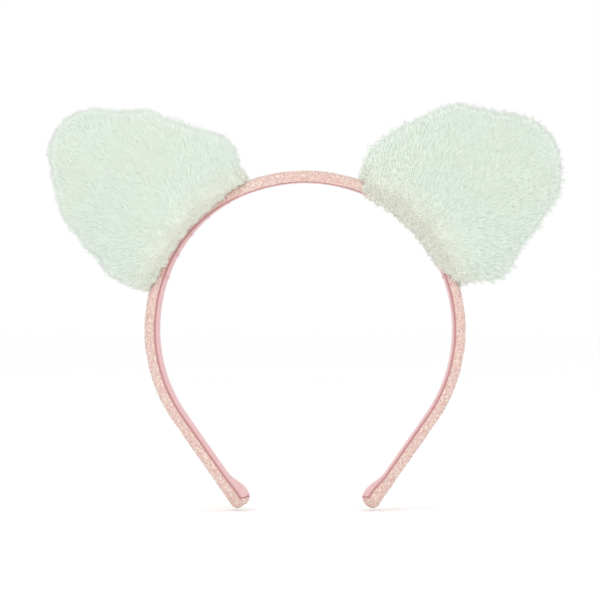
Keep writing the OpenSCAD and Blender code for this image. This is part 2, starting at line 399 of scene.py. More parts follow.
# %% [markdown]
# ## The shape of the band
# The band could be swept along a curve, but its section changes all the way: thin at the crown, thicker down
# the legs, swollen inwards at the tips. So it is laid out like the real strip before it is bent: a length s
# along it, a depth below its outer face, and a width y. `wrap` then puts such a point on the hoop.

# %% Length, depth and width to a place on the hoop
CROWN_DIP = 0.5


def wrap(s, depth, y, side=1):
    """A point at length s from the crown, that deep under the outer face, in metres."""
    angle = min(s, ARC_LEN) / OUTER_R
    outward = Vector((math.sin(angle), 0, math.cos(angle)))
    onward = Vector((math.cos(angle), 0, -math.sin(angle)))
    dip = CROWN_DIP * (1 - rise(angle, 0.15, 0.8))
    place = CENTRE + outward * (OUTER_R - depth) + onward * max(0.0, s - ARC_LEN) + Vector((0, y, -dip))
    return Vector((place.x * side, place.y, place.z)) * MM


def down_leg(s):
    return s - ARC_LEN


# %% How thick the band is, and how its tips are rounded
CROWN_T, LEG_T, TIP_SWELL = 5.1, {-1: 6.4, 1: 5.5}, 2.4
TIP_SPAN = (LEG_LEN - 15, LEG_LEN - 5)
TIP_OUT_R, TIP_IN_R = 3.0, 3.9


def thickness(s, side):
    """Inner face to outer face: least at the crown, more down the legs, and more again at the tips."""
    leg = (LEG_T[side] - CROWN_T) * rise(s / OUTER_R, 0.5, 1.6)
    return CROWN_T + leg + TIP_SWELL * rise(down_leg(s), *TIP_SPAN)


def rounding(s, radius):
    """How much a rounded corner at the end of the leg takes off."""
    t = max(0.0, down_leg(s) - (LEG_LEN - radius))
    return radius - math.sqrt(max(0.0, radius * radius - t * t))


print("thickness down the right leg", [round(thickness(ARC_LEN + x, 1), 1) for x in (0, 20, 40)], "mm")


# %% [markdown]
# The section is a D: a domed outer face, straight sides, a small round at the inner corners and a flat inner
# face. Half of it is listed from the middle of the outer face to the middle of the inner face, and everything
# on the band is placed by how far round that half it lies.

# %% Half of the section
DOME, INNER_CORNER = 2.3, 1.1
SLOPE_STEP = 0.15


def half_section(s, side):
    """Points (depth, y) from the outer middle to the inner middle, and how far round each one is."""
    top, bottom = rounding(s, TIP_OUT_R), thickness(s, side) - rounding(s, TIP_IN_R)
    half = BAND_W / 2 - rounding(s, BAND_W / 2)
    dome = min(DOME, 0.42 * (bottom - top), half)
    corner = min(INNER_CORNER, 0.25 * (bottom - top), half * 0.5)
    turn = np.linspace(0, math.pi / 2, 9)
    inner_depth = bottom - corner + corner * np.sin(turn)
    depth = np.concatenate([top + dome * (1 - np.cos(turn)), inner_depth, [bottom]])
    y = np.concatenate([half * np.sin(turn), half - corner * (1 - np.cos(turn)), [0.0]])
    points = np.stack([depth, y], 1)
    steps = np.linalg.norm(np.diff(points, axis=0), axis=1)
    return points, np.concatenate([[0], np.cumsum(steps)])


def on_band(s, p, inset=0.0, side=1):
    """The point p mm round the section from its outer middle, minus to the front, inset under the surface."""
    points, lengths = half_section(s, side)
    q = min(abs(p), lengths[-1])
    at, ahead, behind = (np.array([np.interp(where, lengths, points[:, k]) for k in (0, 1)])
                         for where in (q, q + SLOPE_STEP, q - SLOPE_STEP))
    d, y = ahead - behind
    size = math.hypot(d, y) or 1.0
    at = at + inset * np.array([y, -d]) / size
    return wrap(s, at[0], math.copysign(max(at[1], 0.0), p) if abs(p) > 1e-9 else 0.0, side)


def girth(s, side=1):
    return half_section(s, side)[1][-1]


print(f"half girth {girth(0):.1f} mm at the crown, {girth(ARC_LEN + 20):.1f} mm on a leg")


# %% Where the cover's edge runs, and the steps along the band
CROWN_SHARE, LEG_SHARE, TIP_SHARE = 0.97, {-1: 0.68, 1: 0.80}, {-1: 0.53, 1: 0.67}
SEAM_CLOSES = (LEG_LEN - 3.4, LEG_LEN - 0.9)
FINE_END = 6


def seam_at(s, side):
    """How far round the section the cover's edge lies: at the inner corner over the crown, part way down the
    side on the legs and tips, and on to the middle of the inner face right at the end."""
    points, lengths = half_section(s, side)
    share = CROWN_SHARE + (LEG_SHARE[side] - CROWN_SHARE) * rise(s / OUTER_R, 0.3, 1.1)
    share += (TIP_SHARE[side] - LEG_SHARE[side]) * rise(down_leg(s), *TIP_SPAN)
    top, bottom = points[0, 0], points[-1, 0]
    on_side = np.interp(top + share * (bottom - top), points[:-1, 0], lengths[:-1])
    return on_side + (lengths[-1] - on_side) * rise(down_leg(s), *SEAM_CLOSES)


def steps_along(last):
    """Lengths from the crown to last: a step to each degree, then each millimetre, and finer at the end."""
    arc = np.radians(np.arange(0, LEG_START_DEG, 1.0)) * OUTER_R
    leg = ARC_LEN + np.arange(0, LEG_LEN - FINE_END, 1.0)
    end = ARC_LEN + LEG_LEN - FINE_END + FINE_END * np.sin(np.linspace(0, math.pi / 2, 17))
    every = np.concatenate([arc, leg, end])
    every = every[every < last - 0.05]
    return np.append(every, last)


print(len(steps_along(ARC_LEN + LEG_LEN)), "steps along each half of the band")


# %% [markdown]
# A strip is made from a flat grid, one row to each step along the band and one column to each place round its
# section. Each point of the grid is carried to its place, the two long edges meet and are merged, and the
# ends are filled.

# %% A tube of fabric from a grid
def rolled(name, lengths, columns, put, finish):
    """put(s, column) gives a point and its numbers. Returns the closed piece."""
    bm = bmesh.new()
    layers = {key: bm.verts.layers.float.new(key) for key in put(lengths[0], 0)[1]}
    bmesh.ops.create_grid(bm, x_segments=len(lengths) - 1, y_segments=columns, size=1)
    for v in bm.verts:
        i = round((v.co.x + 1) / 2 * (len(lengths) - 1))
        j = round((v.co.y + 1) / 2 * columns) % columns
        v.co, numbers = put(lengths[i], j)
        for key, value in numbers.items():
            v[layers[key]] = value
    bmesh.ops.remove_doubles(bm, verts=bm.verts, dist=1e-7)
    bmesh.ops.holes_fill(bm, edges=[e for e in bm.edges if e.is_boundary], sides=0)
    bmesh.ops.recalc_face_normals(bm, faces=bm.faces)
    return piece(name, bm, finish)


# %% [markdown]
# ## The cover
# One strip of glitter fabric over the outer face and down both sides, with a soft rolled edge. It is made in
# two halves that meet at the crown.

# %% How the cover's surface departs from a smooth one, and where a fold is painted in shade
COVER_T, SKIN_COLUMNS = 0.6, 26
TUCK_BACK, TUCK_WIDTH = 2.3, 0.9
rng = random.Random(4)
ripple = [(rng.uniform(0.15, 0.6), rng.uniform(0, 6.28), rng.uniform(0.02, 0.05)) for _ in range(6)]


def fading(distance, width):
    """1 at no distance, and next to nothing at twice the width."""
    return math.exp(-(distance / width) ** 2)


def lumps(s, p):
    """Fabric over foam is never quite even: a few hundredths of a millimetre."""
    return sum(size * math.sin(rate * s + phase + 0.35 * p) for rate, phase, size in ripple) * 0.5


def fold_shade(s):
    """Painted shade of the little fold where the cover's edge turns in, just before the tip's end."""
    return 0.8 * fading(down_leg(s) - (LEG_LEN - TUCK_BACK), TUCK_WIDTH)


print("lumps at the crown", round(lumps(0, 0), 3), "mm")


# %% Cover, half by half
def cover_point(side):
    def put(s, column):
        edge = seam_at(s, side)
        outer = column < SKIN_COLUMNS
        k = column if outer else 2 * SKIN_COLUMNS - 1 - column
        t = 2 * k / (SKIN_COLUMNS - 1) - 1
        t = math.copysign(1 - (1 - abs(t)) ** 1.25, t)
        from_edge = (1 - abs(t)) * edge
        inset = COVER_T
        if outer:
            roll, turned_in = 0.10 * fading(from_edge - 0.5, 0.35), 0.22 * fading(from_edge, 0.18)
            inset = lumps(s, t * edge) - roll + turned_in
        inset *= min(1.0, girth(s, side) / 8.0)
        # hem: near the edge partly dark edging and partly painted shade in the groove, plus painted fold shade
        # near the tip's end.
        hem = min(1.0, fading(from_edge, 0.4) * 0.8 + fold_shade(s) * fading(from_edge, 1.3))
        numbers = {"along": s * MM * side, "around": t * edge * MM, "side": side * 0.01, "hem": hem,
                   "skin": float(outer)}
        return on_band(s, t * edge, inset, side), numbers
    return put


tip_end = ARC_LEN + LEG_LEN - 0.02
covers = {}
for side, word in SIDES:
    covers[side] = rolled(f"cover_{word}", steps_along(tip_end), 2 * SKIN_COLUMNS, cover_point(side), glitter)
print(counts(covers.values()))

# %% [markdown]
# ## The lining and its hem
# The satin ribbon covers the inner face and goes up the sides, with its edges tucked under the cover. A thin
# twisted cord lies where the two meet, which is the dark pink line along the side of the band. The fabric on
# either side darkens towards it, partly in a dark edging and partly in painted shade.

# %% Lining, half by half
LINING_HALF = 11
LINING_T, CLEAR_OF_SEAM = 0.5, 0.42
TUCKED = ((-0.9, 0.75), (-0.15, 0.62), (0.18, 0.34), (CLEAR_OF_SEAM, 0.08))
lining_end = ARC_LEN + LEG_LEN - 1.6


def lining_point(side):
    """The edge's first columns go down under the cover, as TUCKED says: (past the seam, depth)."""
    def put(s, column):
        edge, whole = seam_at(s, side), girth(s, side)
        outer = column < 2 * LINING_HALF
        k = column if outer else 4 * LINING_HALF - 1 - column
        front = k < LINING_HALF
        j = k if front else 2 * LINING_HALF - 1 - k
        if j < len(TUCKED):
            p, inset = edge + TUCKED[j][0], TUCKED[j][1]
        else:
            share = (j - 3) / (LINING_HALF - 4 + 0.5)
            p, inset = edge + CLEAR_OF_SEAM + (whole - edge - CLEAR_OF_SEAM) * share, 0.05
        p = min(p, whole)
        inset += 0.0 if outer else LINING_T
        way = -1 if front else 1
        # hem: partly a dark glue line, partly painted shade where the satin runs under the cover's edge.
        numbers = {"along": s * MM * side, "around": (whole - p) * MM * way,
                   "hem": fading(max(p - edge, 0), 0.5), "skin": float(outer)}
        return on_band(s, p * way, inset, side), numbers
    return put


linings = {}
for side, word in SIDES:
    linings[side] = rolled(f"lining_{word}", steps_along(lining_end), 4 * LINING_HALF, lining_point(side),
                           satin)
print(counts(linings.values()))

# %% Hem, half by half
HEM_COLUMNS, HEM_R = 8, 0.26


def hem_point(side, front):
    def put(s, column):
        turn = 2 * math.pi * column / HEM_COLUMNS
        radius = HEM_R * math.sqrt(rise(lining_end + 1.2 - s, 0.0, 2.0) + 0.02)
        p = (seam_at(s, side) + 0.06 + radius * math.cos(turn)) * front
        return on_band(s, p, 0.16 + radius * math.sin(turn), side), {"along": s * MM, "around": turn}
    return put


hems = {}
for side, word in SIDES:
    for face, way in FACES:
        hems[side, face] = rolled(f"hem_{word}_{way}", steps_along(lining_end + 1.1), HEM_COLUMNS,
                                  hem_point(side, face), hem_finish)
print(counts(hems.values()))


# %% [markdown]
# ## Scattering over a surface
# Flakes and hairs both start from points spread evenly over a mesh. A triangle is drawn with a chance that
# goes with its area, then a point in it. The random numbers are seeded, so each run gives the same object.

# %% Points, normals and stored numbers over a mesh
def coords(mesh, what="co"):
    """A mesh's points, or with what="normal" their normals, a row to each."""
    values = np.zeros(len(mesh.vertices) * 3)
    mesh.vertices.foreach_get(what, values)
    return values.reshape(-1, 3)


def unit(vectors):
    """The same directions, one unit long."""
    return vectors / (np.linalg.norm(vectors, axis=1)[:, None] + 1e-12)


def scatter(made, count, seed, names=()):
    """count places drawn over a piece, the way it faces there, and the named numbers stored on it."""
    mesh = made.data
    mesh.calc_loop_triangles()
    corner = np.zeros(len(mesh.loop_triangles) * 3, np.int32)
    mesh.loop_triangles.foreach_get("vertices", corner)
    corner = corner.reshape(-1, 3)
    co, no = coords(mesh), coords(mesh, "normal")
    a, b, c = (co[corner[:, k]] for k in range(3))
    area = np.linalg.norm(np.cross(b - a, c - a), axis=1)
    r = np.random.default_rng(seed)
    pick = corner[r.choice(len(area), count, p=area / area.sum())]
    x, y = r.random((2, count))
    x, y = np.where(x + y > 1, 1 - x, x), np.where(x + y > 1, 1 - y, y)
    share = np.stack([1 - x - y, x, y], 1)
    normals = unit((no[pick] * share[:, :, None]).sum(1))
    found = {}
    for name in names:
        value = np.zeros(len(co), np.float32)
        mesh.attributes[name].data.foreach_get("value", value)
        found[name] = (value[pick] * share).sum(1)
    return (co[pick] * share[:, :, None]).sum(1), normals, found


def repeated(name, template, copies, finish):
    """One mesh of many copies. The template is a bmesh and is used up, and copies(points) gives every copy's
    points, as one array."""
    template.verts.index_update()
    points = np.array([v.co for v in template.verts])
    faces = [[v.index for v in f.verts] for f in template.faces]
    template.free()
    placed = copies(points)
    number = len(placed)
    mesh = bpy.data.meshes.new(name)
    sizes = np.array([len(f) for f in faces])
    loops = np.concatenate(faces)
    mesh.vertices.add(number * len(points))
    mesh.vertices.foreach_set("co", placed.reshape(-1).astype(np.float32))
    mesh.loops.add(number * len(loops))
    every = (loops[None] + len(points) * np.arange(number)[:, None]).reshape(-1)
    mesh.loops.foreach_set("vertex_index", every.astype(np.int32))
    mesh.polygons.add(number * len(faces))
    starts = np.concatenate([[0], np.cumsum(np.tile(sizes, number))[:-1]])
    mesh.polygons.foreach_set("loop_start", starts.astype(np.int32))
    mesh.update(calc_edges=True)
    mesh.polygons.foreach_set("use_smooth", np.ones(len(mesh.polygons), bool))
    return placed_object(name, mesh, finish)


def across(direction, seed):
    """Two directions square to each given one, turned at random."""
    r = np.random.default_rng(seed)
    one = unit(np.cross(direction, r.normal(size=direction.shape)))
    return one, np.cross(direction, one)


print("scattering tools ready")


# %% [markdown]
# ## The large flakes
# Each flake is a thin hexagon, glued on at its own tilt. They are real pieces of mesh, since their edges and
# glints are what makes glitter fabric look rough against the light.

# %% Hexagon flakes on the cover
FLAKES = 4200
FLAKE_T, FLAKE_LIFT = 0.035 * MM, 0.03 * MM


def hexagon():
    """A six-sided plate, one unit in radius and one thick."""
    bm = bmesh.new()
    bmesh.ops.create_circle(bm, cap_ends=True, segments=6, radius=1)
    top = bmesh.ops.extrude_face_region(bm, geom=bm.faces[:])
    raised = [v for v in top["geom"] if isinstance(v, bmesh.types.BMVert)]
    bmesh.ops.translate(bm, verts=raised, vec=(0, 0, 1))
    bmesh.ops.recalc_face_normals(bm, faces=bm.faces)
    return bm


def flake_layer(side, word):
    """One half of the cover's flakes: on its outer skin, clear of its edge."""
    at, normal, found = scatter(covers[side], FLAKES * 5 // 2, 11 + side, ("skin", "hem"))
    keep = np.flatnonzero((found["skin"] > 0.99) & (found["hem"] < 0.25))[:FLAKES]
    at, normal = at[keep], normal[keep]
    r = np.random.default_rng(20 + side)
    facing = unit(normal + r.normal(size=normal.shape) * 0.16)
    one, two = across(facing, 30 + side)
    size = r.uniform(0.16, 0.33, len(at)) * MM

    def placed(shape):
        flat = shape[None, :, :1] * one[:, None] + shape[None, :, 1:2] * two[:, None]
        lifted = facing[:, None] * (shape[None, :, 2:] * FLAKE_T + FLAKE_LIFT)
        return at[:, None] + size[:, None, None] * flat + lifted

    made = repeated(f"flakes_{word}", hexagon(), placed, flake_finish)
    made.data.polygons.foreach_set("use_smooth", np.zeros(len(made.data.polygons), bool))
    store(made, tone=np.repeat(r.beta(1.3, 1.1, len(at)), len(made.data.vertices) // len(at)))
    return made


flakes = {side: flake_layer(side, word) for side, word in SIDES}
print(counts(flakes.values()))

# %% [markdown]
# ## The ears' own coordinates
# Each ear stands on the hoop 50 degrees down from the crown. It is easier to think in its own directions: u
# towards the crown, v away from the middle of the hoop, and y to the back.

# %% To and from an ear's directions
EAR_AT = math.radians(50)


def ear_axes(side):
    """Rows are u, v and y."""
    return np.array([[-side * math.cos(EAR_AT), 0, math.sin(EAR_AT)],
                     [side * math.sin(EAR_AT), 0, math.cos(EAR_AT)], [0, 1, 0]])


def to_ear(points, side):
    return (points / MM - np.array(CENTRE)) @ ear_axes(side).T


def from_ear(points, side):
    return (points @ ear_axes(side) + np.array(CENTRE)) * MM


def radius_of(at):
    """How far points in an ear's directions are from the hoop's axis."""
    return np.hypot(at[:, 0], at[:, 1])


HEART = np.array([0.0, 88.0, 0.0])
for side, word in SIDES:
    panel_points = to_ear(coords(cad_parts[f"ear_{word}_front_panel"].data), side)
    print(word, "ear", round(panel_points[:, 1].max() - OUTER_R, 1), "mm high over the band")


# %% [markdown]
# ## Stuffed shapes
# An ear is two plush panels round a handful of batting. Fabric under pressure from inside takes its own
# shape, so each is simulated: the CAD solid is remeshed into even squares, a little air pressure swells it as
# cloth, the movement is capped, and one subdivision smooths it.

# %% Where an ear is fuller or flatter than its CAD outline, and how far its pile comes down the band
FULLER = {
    -1: [(15, 12, -0.8), (33, 17, -2.0), (68, 12, -1.2), (112, 9, 2.6), (130, 6, -1.0), (-42, 26, 1.7),
         (-100, 8, -1.9), (-128, 9, 1.4)],
    1: [(-25, 12, -1.0), (-70, 15, 1.2), (-108, 15, 2.6), (78, 14, 0.8), (117, 7, 1.2), (132, 6, -1.8)]}


def bearing(at):
    """Which way points lie from the ear's middle: 0 is away from the band, more is towards the crown."""
    return np.arctan2(at[:, 0] - HEART[0], at[:, 1] - HEART[1])


def fuller(at, side):
    """Millimetres outwards at points in an ear's directions: a few bumps, each (bearing, width, size)."""
    turn = np.degrees(bearing(at))
    return sum(size * np.exp(-((turn - where) / width) ** 2) for where, width, size in FULLER[side])


def ragged(at, side):
    """How much further the pile's tips reach at the rim: pointed tufts all round the right ear, and a few
    soft scallops on the outer top of the left one."""
    turn = bearing(at)
    if side > 0:
        return 1.5 * (0.64 - np.abs(np.sin(31 * turn + 1.6 * np.sin(5 * turn)))) + 0.5 * np.sin(83 * turn)
    there = np.exp(-((np.degrees(turn) + 8) / 34) ** 2)
    return there * 1.1 * (np.abs(np.sin(19 * turn + 1.2 * np.sin(4 * turn))) - 0.64)


def smooth_step(x, low, high):
    """rise, for a whole array."""
    t = np.clip((x - low) / (high - low), 0, 1)
    return t * t * (3 - 2 * t)


def fur_edge(u, side):
    """How near the hoop's middle the pile reaches. The left ear leaves the inner part of the band bare."""
    if side < 0:
        return 63.5 + 1.7 * smooth_step(u, 12, 27) + 1.3 * smooth_step(-u, 10, 26) + 0.4 * np.sin(u * 0.9)
    return 59.6 + 5.2 * smooth_step(-u, 10, 27) + 0.3 * np.sin(u * 0.8)


WARM_R, WARM_DEPTH, WARM_MOST = 74.5, 8, 0.75


def warmth(radius):
    """How beige the fur is: not at all far from the band, and most where it meets it."""
    return np.clip((WARM_R - radius) / WARM_DEPTH, 0, 1) * WARM_MOST


print("the pile ends", np.round(fur_edge(np.array([-25.0, 0.0, 25.0]), -1), 1), "mm from the hoop's middle")


# %% Which part of a panel shows
SLOT_HALF, PARTING_R = 5.9, 69.5


def outer_side(points, normals, face):
    """True where a panel shows: not on its inner wall, its parting face or the slot for the band."""
    y_out = normals[:, 2] * face
    outward = (normals * (points - HEART)).sum(1) > 0
    radius = radius_of(points)
    inward = (normals[:, :2] * points[:, :2]).sum(1) / radius < -0.6
    in_slot = (np.abs(points[:, 2]) < SLOT_HALF) & (radius < PARTING_R) & inward
    return ((y_out > 0.35) | ((y_out > -0.25) & outward)) & ~in_slot


# %% Remesh, swell and smooth
CLOTH_FRAMES = 20


def swollen(made, pressure, cap):
    """The piece's points after its cloth is blown up, none moved by more than cap millimetres."""
    start = coords(made.data)
    cloth = made.modifiers.new("cloth", "CLOTH")
    cloth.settings.use_pressure = True
    cloth.settings.uniform_pressure_force = pressure
    cloth.settings.effector_weights.gravity = 0
    for number in range(1, CLOTH_FRAMES + 1):
        bpy.context.scene.frame_set(number)
    evaluated = made.evaluated_get(bpy.context.evaluated_depsgraph_get())
    moved = coords(evaluated.data) - start
    made.modifiers.clear()
    bpy.context.scene.frame_set(1)
    far = np.linalg.norm(moved, axis=1)[:, None]
    return start + moved * np.minimum(1, cap * MM / np.maximum(far, 1e-9))


def evened(bm, factor):
    bmesh.ops.smooth_vert(bm, verts=bm.verts, factor=factor,
                          use_axis_x=True, use_axis_y=True, use_axis_z=True)


def stuffed(name, node, voxel, cap, finish, shape=None, pressure=4.0):
    """A soft piece from a CAD solid. shape may move its points before the cloth is run."""
    bm = bmesh.new()
    bm.from_mesh(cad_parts[node].data)
    bmesh.ops.remove_doubles(bm, verts=bm.verts, dist=1e-6)
    made = piece(name, bm, finish, 180)
    bpy.context.view_layer.objects.active = made
    made.data.remesh_voxel_size = voxel * MM
    bpy.ops.object.voxel_remesh()
    if shape:
        made.data.vertices.foreach_set("co", shape(coords(made.data), coords(made.data, "normal")).ravel())
    made.data.vertices.foreach_set("co", swollen(made, pressure, cap).ravel())
    made.data.update()
    bm = bmesh.new()
    bm.from_mesh(made.data)
    evened(bm, 0.4)
    evened(bm, 0.4)
    bmesh.ops.subdivide_edges(bm, edges=bm.edges, cuts=1, use_grid_fill=True, smooth=0.0)
    evened(bm, 0.5)
    smooth_faces(bm, 180)
    bm.to_mesh(made.data)
    bm.free()
    return made


print("cloth is", f"run for {CLOTH_FRAMES} frames")


# %% The cloth under the pile
PILE_DEPTH = 2.0
ROOF_HALF, ROOF_R, ROOF_DROP = 6, 70, 1.2
CHEEK_R = 34
SKIRT_R, SKIRT_DEPTH, SKIRT_LEAST = 68, 6.0, 61.2


def pared(side, face):
    """The CAD panel holds the pile too, so the cloth under it is smaller, and ends where the pile does."""
    def shape(points, normals):
        at, facing = to_ear(points, side), normals @ ear_axes(side).T
        at -= facing * outer_side(at, facing, face)[:, None] * PILE_DEPTH

        # The slot's roof comes down to just above the band, so that no gap shows there.
        radius = radius_of(at)
        inward = (facing[:, :2] * at[:, :2]).sum(1) / radius < -0.5
        roof = (np.abs(at[:, 2]) < ROOF_HALF) & (radius < ROOF_R) & inward
        lowered = np.minimum(1, np.maximum(radius - ROOF_DROP, OUTER_R + 0.1) / radius)
        at[:, :2] *= np.where(roof, lowered, 1)[:, None]

        # The outline is filled out or taken in, more towards the rim.
        away = at - HEART
        away[:, 2] = 0
        reach = np.linalg.norm(away, axis=1)[:, None] + 1e-9
        at += away / reach * (fuller(at, side)[:, None] * np.clip(reach / CHEEK_R, 0, 1) ** 2)

        # The skirts beside the band are shortened to where the pile ends.
        radius = radius_of(at)
        low = np.maximum(fur_edge(at[:, 0], side) + 0.5, SKIRT_LEAST)
        shorter = SKIRT_R - (SKIRT_R - radius) * (SKIRT_R - low) / SKIRT_DEPTH
        at[:, :2] *= (np.where(radius < SKIRT_R, shorter, radius) / radius)[:, None]
        return from_ear(at, side)
    return shape


panels, fillings = {}, {}
for side, word in SIDES:
    body = f"{word}_leg"
    filling = stuffed(f"ear_{word}_batting", f"ear_{word}_filling", 4.0, 1.5, batting)
    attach(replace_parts(filling, f"ear_{word}_filling"), body)
    fillings[side] = filling
    for face, way in FACES:
        node = f"ear_{word}_{way}_panel"
        panel = stuffed(f"ear_{word}_{way}", node, 1.9, 0.8, backing, pared(side, face), 2.0)
        store(panel, warm=warmth(radius_of(to_ear(coords(panel.data), side))))
        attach(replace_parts(panel, node), body)
        panels[side, face] = panel
print(counts([*panels.values(), *fillings.values()]))

# %% [markdown]
# ## The pile
# Plush is thousands of fine fibres that lean together in tufts. Particle hair would be quick, but it isn't
# mesh and doesn't leave Blender. Here each hair is a small closed spike of its own: three-sided, tapered and
# bent. The hair leans along the pile's direction, outwards at the ear's edge and down over the band at its
# foot, and the tips of a tuft draw together. Each panel has one piece of hair all over it, and a second one
# round its rim, where the fur is seen against the background and has to be dense.

# %% One hair
def one_hair():
    """A three-sided spike one unit long, with a ring half way so that it can bend."""
    bm = bmesh.new()
    bmesh.ops.create_cone(bm, cap_ends=True, segments=3, radius1=1, radius2=0, depth=1)
    bmesh.ops.translate(bm, verts=bm.verts, vec=(0, 0, 0.5))
    bmesh.ops.remove_doubles(bm, verts=bm.verts, dist=1e-6)
    bmesh.ops.bisect_plane(bm, geom=bm.verts[:] + bm.edges[:] + bm.faces[:],
                           plane_co=(0, 0, 0.5), plane_no=(0, 0, 1))
    for v in bm.verts:
        if 0.2 < v.co.z < 0.8:
            v.co.xy *= 1.75
    bmesh.ops.recalc_face_normals(bm, faces=bm.faces)
    return bm


bm = one_hair()
HAIR_HEIGHTS = np.array([v.co.z for v in bm.verts])
print("one hair has", len(bm.verts), "points and", len(bm.faces), "faces")
bm.free()


# %% Where the hairs stand on a panel
FOOT_R, SPARSE = 66.5, 0.42
FLOW_FROM = np.array([[0.0, 48.0]])


def rooted(side, face, wanted, seed, r, rim_only):
    """Places and directions on the side of a panel that shows, fewer to an area away from its foot."""
    points, normals, _ = scatter(panels[side, face], wanted * (12 if rim_only else 6), seed)
    at, facing = to_ear(points, side), normals @ ear_axes(side).T
    chance = np.where(radius_of(at) < FOOT_R, 1.0, SPARSE)
    if rim_only:
        chance = (np.abs(facing[:, 2]) < 0.55).astype(float)
    return at, facing, outer_side(at, facing, face) & (r.random(len(at)) < chance)


def lean(at, facing, part):
    """The way the pile lies, combed away from the band, and down over it below the parting. The second value
    says how near the rim a hair is."""
    out = unit(at[:, :2] - FLOW_FROM)
    down = unit(-at[:, :2])
    low = np.clip(part - radius_of(at), 0, 1)[:, None]
    flow = np.concatenate([out * (1 - low) + down * low, np.zeros((len(at), 1))], 1)
    rim = np.clip(1.25 - np.abs(facing[:, 2]) * 2.0, 0, 1)[:, None]
    return flow - (flow * facing).sum(1)[:, None] * facing * (1 - 0.7 * rim), rim


def nearest(places, heads):
    """Which of the heads is nearest to each place."""
    tree = KDTree(len(heads))
    for i, head in enumerate(heads):
        tree.insert(head, i)
    tree.balance()
    return np.array([tree.find(place)[1] for place in places])


print("a hair beside the band leans", np.round(lean(np.array([[0.0, 66.0, 6.0]]), np.eye(3)[2:], 69.5)[0], 2))


# %% Pile on one panel
def grow(side, face, name, count, tufts, gather, long, seed, rim_only=False):
    """count hairs on one panel, all over or only round its rim. The first places are the tufts' middles."""
    r = np.random.default_rng(seed + 1)
    at, facing, free = rooted(side, face, count, seed, r, rim_only)
    keep = np.flatnonzero(free)[:count + tufts]
    at, facing = at[keep], facing[keep]
    flow, rim = lean(at, facing, PARTING_R + 3 * r.normal(size=len(at)))
    heads, hairs = slice(0, tufts), slice(tufts, None)
    tuft_way = facing[heads] * (0.25 + 0.45 * rim[heads]) + flow[heads]
    tuft_way = unit(tuft_way + r.normal(size=(tufts, 3)) * 0.12)
    root, up, flow, rim = at[hairs], facing[hairs], flow[hairs], rim[hairs, 0]
    near = nearest(root, at[heads])

    # Length: shorter at the foot, nearly even at the rim, each tuft with its own.
    radius = radius_of(root)
    even = r.uniform(0.78, 1.12, len(root))
    length = long * (even + (1.04 - even) * 0.85 * rim) * (1 - np.clip((76 - radius) / 9, 0, 1) * 0.35)
    length *= r.uniform(0.9, 1.12, tufts)[near]
    way_out = unit(up * (0.25 + 0.45 * rim)[:, None] + flow + r.normal(size=root.shape) * 0.10)
    length = length + rim * ragged(root, side)

    # Tips: drawn towards their tuft's, and kept off the bare part of the band.
    tip = root + way_out * length[:, None]
    meet = at[heads][near] + tuft_way[near] * (length * 1.03)[:, None]
    tip += (meet - tip) * ((0.12 + (gather - 0.12) * rim) * r.uniform(0.4, 1.0, len(root)))[:, None]
    stop = fur_edge(tip[:, 0], side) + r.normal(size=len(root)) * 0.45
    tip[:, :2] *= np.maximum(1, stop / radius_of(tip))[:, None]
    middle = root + (tip - root) * 0.5 + up * (length * 0.08)[:, None]
    one, two = across(unit(tip - root), seed + 2)
    thick = r.uniform(0.065, 0.115, len(root)) * (1 + 0.7 * rim)

    def placed(shape):
        z = shape[None, :, 2:]
        line = np.where(z < 0.5, root[:, None] + (middle - root)[:, None] * z * 2,
                        middle[:, None] + (tip - middle)[:, None] * (z * 2 - 1))
        round_it = shape[None, :, :1] * one[:, None] + shape[None, :, 1:2] * two[:, None]
        return from_ear(line + round_it * thick[:, None, None], side)

    made = repeated(name, one_hair(), placed, pile)
    warm_by = warmth(radius) * r.uniform(0.75, 1.0, len(root))
    points_each = len(HAIR_HEIGHTS)
    store(made, tip=np.tile(HAIR_HEIGHTS, len(root)), tone=np.repeat(r.random(len(root)), points_each),
          warm=np.repeat(warm_by, points_each))
    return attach(made, f"{dict(SIDES)[side]}_leg")


# %% All the pile: for each ear how far tufts gather, all over and at the rim, and how long the hair is
HAIRS, TUFTS, RIM_HAIRS, RIM_TUFTS = 19000, 1000, 7500, 420
GATHER, RIM_GATHER, HAIR_LEN = {-1: 0.3, 1: 0.5}, {-1: 0.5, 1: 0.85}, {-1: 4.2, 1: 4.5}
piles = []
for side, word in SIDES:
    for face, way in FACES:
        seed = 100 + 10 * side + face
        name = f"ear_{word}_{way}"
        piles.append(grow(side, face, f"{name}_pile", HAIRS, TUFTS, GATHER[side], HAIR_LEN[side], seed))
        piles.append(grow(side, face, f"{name}_rim_pile", RIM_HAIRS, RIM_TUFTS, RIM_GATHER[side],
                          HAIR_LEN[side], seed + 40, rim_only=True))
print(counts(piles))

# %% [markdown]
# ## Thread
# Five loops of doubled thread hold each ear to the band. They go right round it, so they show on the lining.
# Each loop is two strands wound round the same line.

# %% The line of a sewing loop
LOOPS, LOOP_PITCH = 5, math.radians(9.5)
LOOP_POINTS, LOOP_TWISTS = 96, 15
STRAND_R = 0.12


def loop_line(s, side, phase):
    """A closed line round the band's section, wound like a rope."""
    whole, line = girth(s, side), []
    for k in range(LOOP_POINTS):
        p = (k / LOOP_POINTS * 2 - 1) * whole
        turn = 2 * math.pi * k / LOOP_POINTS * LOOP_TWISTS + phase
        line.append(on_band(s + 0.11 * math.cos(turn), p, -0.16 - 0.1 * math.sin(turn), side))
    return line


print("a loop starts at", [round(x / MM, 1) for x in loop_line(EAR_AT * OUTER_R, 1, 0)[0]], "mm")


